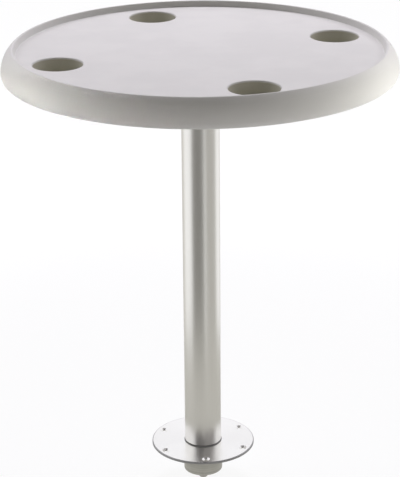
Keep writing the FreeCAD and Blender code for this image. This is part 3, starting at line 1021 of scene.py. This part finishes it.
class TABLE_OT_receiver(bpy.types.Operator):
    """Builds the cast receiver with its gussets under the top"""

    bl_idname = "table.receiver"
    bl_label = "Receiver"

    def gusset(self, sizes, bore, turn):
        """One rounded web between socket and flange."""
        under = sizes.face - sizes.flange
        socket = bore + sizes.wall
        outer = sizes.flange_radius - sizes.gusset_margin
        inner = bore + sizes.wall / 2
        low = under - sizes.gusset_height
        half = sizes.gusset / 2
        deep = under + sizes.flange / 2
        web = bmesh.new()
        corners = [(inner, low), (socket, low), (outer, under), (outer, deep), (inner, deep)]
        verts = [web.verts.new((radius, -half, height)) for radius, height in corners]
        face = bmesh.ops.contextual_create(web, geom=verts)["faces"]
        grown = bmesh.ops.extrude_face_region(web, geom=face)["geom"]
        moving = [part for part in grown if isinstance(part, bmesh.types.BMVert)]
        bmesh.ops.translate(web, vec=(0, sizes.gusset, 0), verts=moving)
        bmesh.ops.recalc_face_normals(web, faces=web.faces)
        crests = [
            edge
            for edge in web.edges
            if all(vert.co.x > inner + MERGE and vert.co.z < deep - MERGE for vert in edge.verts)
            and abs(edge.verts[0].co.y - edge.verts[1].co.y) < MERGE
        ]
        round_edges(web, crests, sizes.gusset_round, GUSSET_EDGE_STEPS)
        turn_about_post(web, turn)
        return web

    def execute(self, context):
        sizes = context.scene.receiver_sizes
        ledge = context.scene.top_sizes.ledge
        bore = context.scene.post_sizes.bore
        under = sizes.face - sizes.flange
        socket = bore + sizes.wall
        root = socket + (under - sizes.mouth) * math.tan(sizes.draft)
        inside = outline_through(
            (root + sizes.root + ledge, under),
            (root, under, sizes.root),
            (socket, sizes.mouth, sizes.edge),
            (bore, sizes.mouth),
            (bore, under),
            (0, under),
        )
        edge = outline_through(
            (sizes.flange_radius - sizes.edge - ledge, under),
            (sizes.flange_radius, under, sizes.edge),
            (sizes.flange_radius, sizes.face),
            (sizes.flange_radius - ledge, sizes.face),
        )
        places = circle_places(sizes.flange_radius - sizes.screw_inset, sizes.screw_count)
        holes = countersunk_holes(sizes, places, under, sizes.face, ledge / 2, SCREW_HOLE_STEPS)
        casting = joined(edge.spun(POST_STEPS), inside.spun(POST_STEPS), *holes)
        fill_level(casting, under)
        fill_level(casting, sizes.face)
        for turn in even_turns(sizes.screw_count, math.pi / sizes.screw_count):
            casting = joined(casting, self.gusset(sizes, bore, turn))
        material = cast("cast receiver", context.scene.table_finishes.cast_receiver)
        finished(casting, "receiver", [material], "cast_receiver", "table_top", "top_receiver")
        return {"FINISHED"}


class TABLE_OT_underside(bpy.types.Operator):
    """Finishes the cover, the core board, its inserts and all the screws"""

    bl_idname = "table.underside"
    bl_label = "Underside"

    def execute(self, context):
        finishes = context.scene.table_finishes
        brass = plain_metal("brass inserts", finishes.brass, rough=0.28)
        stainless = plain_metal("stainless screws", finishes.stainless, rough=0.24)
        dressed(moulded("moulded cover", finishes.moulded_cover), "underside_cover")
        dressed(plywood("plywood core", finishes.plywood), "core_board")
        dressed(brass, "core_inserts")
        dressed(stainless, "receiver_screws", "cover_screws")
        return {"FINISHED"}


class TABLE_OT_stage(bpy.types.Operator):
    """Builds the white floor, the boards, cards and lamps round the table, and the camera"""

    bl_idname = "table.stage"
    bl_label = "Stage"

    def add(self, mesh, name, material):
        data = bpy.data.meshes.new(name)
        mesh.to_mesh(data)
        mesh.free()
        data.materials.append(material)
        prop = bpy.data.objects.new(name, data)
        bpy.context.scene.collection.objects.link(prop)
        return prop

    def floor(self, stage):
        """White to the camera and in reflections, with the object's shadow left in."""
        finish = new_finish("floor")
        paint = finish.node("ShaderNodeBsdfDiffuse", inputs={"Color": (*stage.floor_colour, 1)})
        glow = finish.node("ShaderNodeEmission", inputs={"Color": (1, 1, 1, 1), "Strength": 1.0})
        seen = finish.node("ShaderNodeLightPath", output="Is Camera Ray")
        for ray in ("Is Glossy Ray", "Is Transmission Ray"):
            seen = seen + finish.node("ShaderNodeLightPath", output=ray)
        sockets = {0: seen * stage.floor_white, 1: paint, 2: glow}
        look = finish.node("ShaderNodeMixShader", inputs=sockets)
        finish.node("ShaderNodeOutputMaterial", inputs={"Surface": look})
        mesh = bmesh.new()
        bmesh.ops.create_grid(mesh, x_segments=1, y_segments=1, size=stage.floor_size)
        bmesh.ops.translate(mesh, verts=mesh.verts, vec=(0, 0, cad_box[0].z))
        self.add(mesh, "floor", finish.owner)

    def screen(self, curve, name, look, start, spread):
        """A curved sheet out of the camera's sight, with a one-node look."""
        finish = new_finish(name)
        finish.node("ShaderNodeOutputMaterial", inputs={"Surface": finish.node(*look)})
        turn_about_post(curve.mesh, start)
        sweep(curve.mesh, spread, SHEET_STEPS)
        sheet = self.add(curve.mesh, name, finish.owner)
        sheet.visible_camera = False
        return sheet

    def board(self, stage, curve, name, reflectance, start, spread):
        """Keeps light off the table from one side."""
        paint = ("ShaderNodeBsdfDiffuse", {}, {"Color": shade(stage.board_tone, reflectance)})
        return self.screen(curve, name, paint, start, spread)

    def boards(self, stage):
        """Boards on the camera's side, a ceiling, and a backdrop that only dims the rim's back."""
        left_start = FRONT - stage.left_board_spread
        wing_start = FRONT - stage.board_spread
        for name, level, start, spread in (
            ("left_wing", stage.left_board, wing_start, left_start - wing_start),
            ("left_board", stage.left_board, left_start, stage.left_board_spread),
            ("right_board", stage.right_board, FRONT, stage.board_spread),
        ):
            curve = Outline(stage.board_distance, 0)
            curve.arc_about(0, 0, stage.board_rise, BOARD_STEPS)
            sheet = self.board(stage, curve, name, level, start, spread)
            sheet.visible_glossy = name != "left_wing"
        height = stage.ceiling_height
        curve = Outline(0, height).line_to(stage.ceiling_radius, height)
        self.board(stage, curve, "ceiling", stage.ceiling, 0.0, math.tau)
        distance = stage.backdrop_distance
        curve = Outline(distance, stage.backdrop_low).line_to(distance, stage.backdrop_high)
        sheet = self.board(stage, curve, "backdrop", stage.backdrop, 0.0, math.pi)
        sheet.visible_glossy = False
        sheet.visible_shadow = False

    def cards(self, stage):
        """Even greys that glow just above the floor and show only in reflections: painted reflections
        in the metal, mostly the post. They cast no light and no shadow.
        """
        near = (stage.near_card_start, stage.far_card_start)
        far = (stage.far_card_start, stage.board_distance)
        near_end, left_end = stage.near_card_spread, stage.card_gap_start
        right_start = left_end + stage.card_gap
        back_start = math.pi - stage.back_card_right
        back_end = math.pi + stage.back_card_left
        height = cad_box[0].z + stage.card_lift
        for name, level, span, start, end in (
            ("near_card", stage.near_card, near, -near_end, near_end),
            ("left_card", stage.left_card, far, -stage.left_card_spread, left_end),
            ("right_card", stage.right_card, far, right_start, stage.right_card_spread),
            ("back_card", stage.back_card, far, back_start, back_end),
        ):
            curve = Outline(span[0], height).line_to(span[1], height)
            # Emission seen only by glossy rays: a painted reflection, not a lamp.
            grey = ("ShaderNodeEmission", {}, {"Color": shade(stage.board_tone, level)})
            card = self.screen(curve, name, grey, FRONT + start, end - start)
            card.visible_diffuse = False
            card.visible_shadow = False

    def sky(self, context, stage):
        sky = Finish(bpy.data.worlds.new("surroundings"))
        sockets = {"Color": (*stage.sky_colour, 1), "Strength": stage.sky}
        white = sky.node("ShaderNodeBackground", inputs=sockets)
        sky.node("ShaderNodeOutputWorld", inputs={"Surface": white})
        context.scene.world = sky.owner

    def lamp(self, context, name, watts, tone, size, turn, rise, aim=None, spread=math.pi):
        """A round lamp that shines on a place, or on the middle of the top."""
        stage = context.scene.stage_settings
        middle = Vector((0, 0, context.scene.top_sizes.height))
        level = math.cos(rise)
        way = Vector((math.cos(turn) * level, math.sin(turn) * level, math.sin(rise)))
        lamp = bpy.data.objects.new(name, bpy.data.lights.new(name, "AREA"))
        lamp.data.energy = watts
        lamp.data.color = tone
        lamp.data.shape = "DISK"
        lamp.data.size = size
        lamp.data.spread = spread
        lamp.location = middle + way * stage.lamp_distance
        beam = (aim or middle) - lamp.location
        lamp.rotation_euler = beam.to_track_quat("-Z", "Y").to_euler()
        lamp.visible_camera = False
        lamp.visible_glossy = False
        context.scene.collection.objects.link(lamp)

    def lamps(self, context, stage):
        """Soft lamps behind and in front of the table, and narrow ones on the rim's ends."""
        top = context.scene.top_sizes
        cool, plain = stage.back_lamp_colour, stage.side_lamp_colour
        back_turn, corner_turn = -FRONT, stage.corner_lamp_turn
        back, corner, size = stage.back_lamp, stage.corner_lamp, stage.back_lamp_size
        for name, watts, turn, rise in (
            ("back_lamp", back, back_turn, stage.back_lamp_rise),
            ("left_corner_lamp", corner, back_turn + corner_turn, stage.corner_lamp_rise),
            ("right_corner_lamp", corner, back_turn - corner_turn, stage.corner_lamp_rise),
        ):
            self.lamp(context, name, watts, cool, size, turn, rise)
        size, rise = stage.front_lamp_size, stage.front_lamp_rise
        self.lamp(context, "front_lamp", stage.front_lamp, plain, size, FRONT, rise)
        left_turn, left_aim = math.pi - stage.left_lamp_turn, math.pi + stage.left_lamp_aim
        size, rise, spread = stage.side_lamp_size, stage.side_lamp_rise, stage.side_lamp_spread
        for name, watts, turn, aim in (
            ("left_lamp", stage.left_lamp, left_turn, left_aim),
            ("right_lamp", stage.right_lamp, stage.right_lamp_turn, -stage.right_lamp_aim),
        ):
            x, y = top.radius * math.cos(aim), top.radius * math.sin(aim)
            belly = Vector((x, y, top.mouth + top.belly))
            self.lamp(context, name, watts, plain, size, turn, rise, belly, spread)

    def camera(self, context, stage):
        camera = bpy.data.objects.new("camera", bpy.data.cameras.new("camera"))
        camera.data.lens = stage.camera_lens
        camera.data.sensor_width = SENSOR_WIDTH
        turn = Matrix.Rotation(-stage.camera_yaw, 4, "Z")
        tilt = Matrix.Rotation(math.pi / 2 - stage.camera_pitch, 4, "X")
        lean = Matrix.Rotation(stage.camera_roll, 4, "Z")
        camera.matrix_world = Matrix.Translation(stage.camera_place) @ turn @ tilt @ lean
        context.scene.collection.objects.link(camera)
        context.scene.camera = camera

    def execute(self, context):
        stage = context.scene.stage_settings
        self.floor(stage)
        self.boards(stage)
        self.cards(stage)
        self.sky(context, stage)
        self.lamps(context, stage)
        self.camera(context, stage)
        context.scene.view_settings.view_transform = "Standard"
        return {"FINISHED"}


OPERATORS = (
    TABLE_OT_moulded_top,
    TABLE_OT_post,
    TABLE_OT_deck_flange,
    TABLE_OT_socket,
    TABLE_OT_bushes,
    TABLE_OT_receiver,
    TABLE_OT_underside,
    TABLE_OT_stage,
)

SETTINGS = {
    "top_sizes": TopSizes,
    "post_sizes": PostSizes,
    "deck_sizes": DeckSizes,
    "receiver_sizes": ReceiverSizes,
    "table_finishes": TableFinishes,
    "stage_settings": StageSettings,
}


class TABLE_PT_pieces(bpy.types.Panel):
    """Lists the table's pieces and their sizes"""

    bl_idname = "TABLE_PT_pieces"
    bl_label = "Pedestal table"
    bl_space_type = "VIEW_3D"
    bl_region_type = "UI"
    bl_category = "Pedestal table"

    def draw(self, context):
        for operator in OPERATORS:
            self.layout.operator(operator.bl_idname)
        for name, group in SETTINGS.items():
            box = self.layout.box()
            box.label(text=group.__doc__)
            for key in group.__annotations__:
                box.prop(getattr(context.scene, name), key)


def register():
    for group in (*SETTINGS.values(), *OPERATORS, TABLE_PT_pieces):
        bpy.utils.register_class(group)
    for name, group in SETTINGS.items():
        setattr(bpy.types.Scene, name, PointerProperty(type=group))


def unregister():
    for name in SETTINGS:
        delattr(bpy.types.Scene, name)
    for group in (TABLE_PT_pieces, *reversed(OPERATORS), *SETTINGS.values()):
        bpy.utils.unregister_class(group)


def main():
    register()
    bpy.ops.table.moulded_top()
    bpy.ops.table.post()
    bpy.ops.table.deck_flange()
    bpy.ops.table.socket()
    bpy.ops.table.bushes()
    bpy.ops.table.receiver()
    bpy.ops.table.underside()
    bpy.ops.table.stage()


if __name__ == "__main__":
    main()
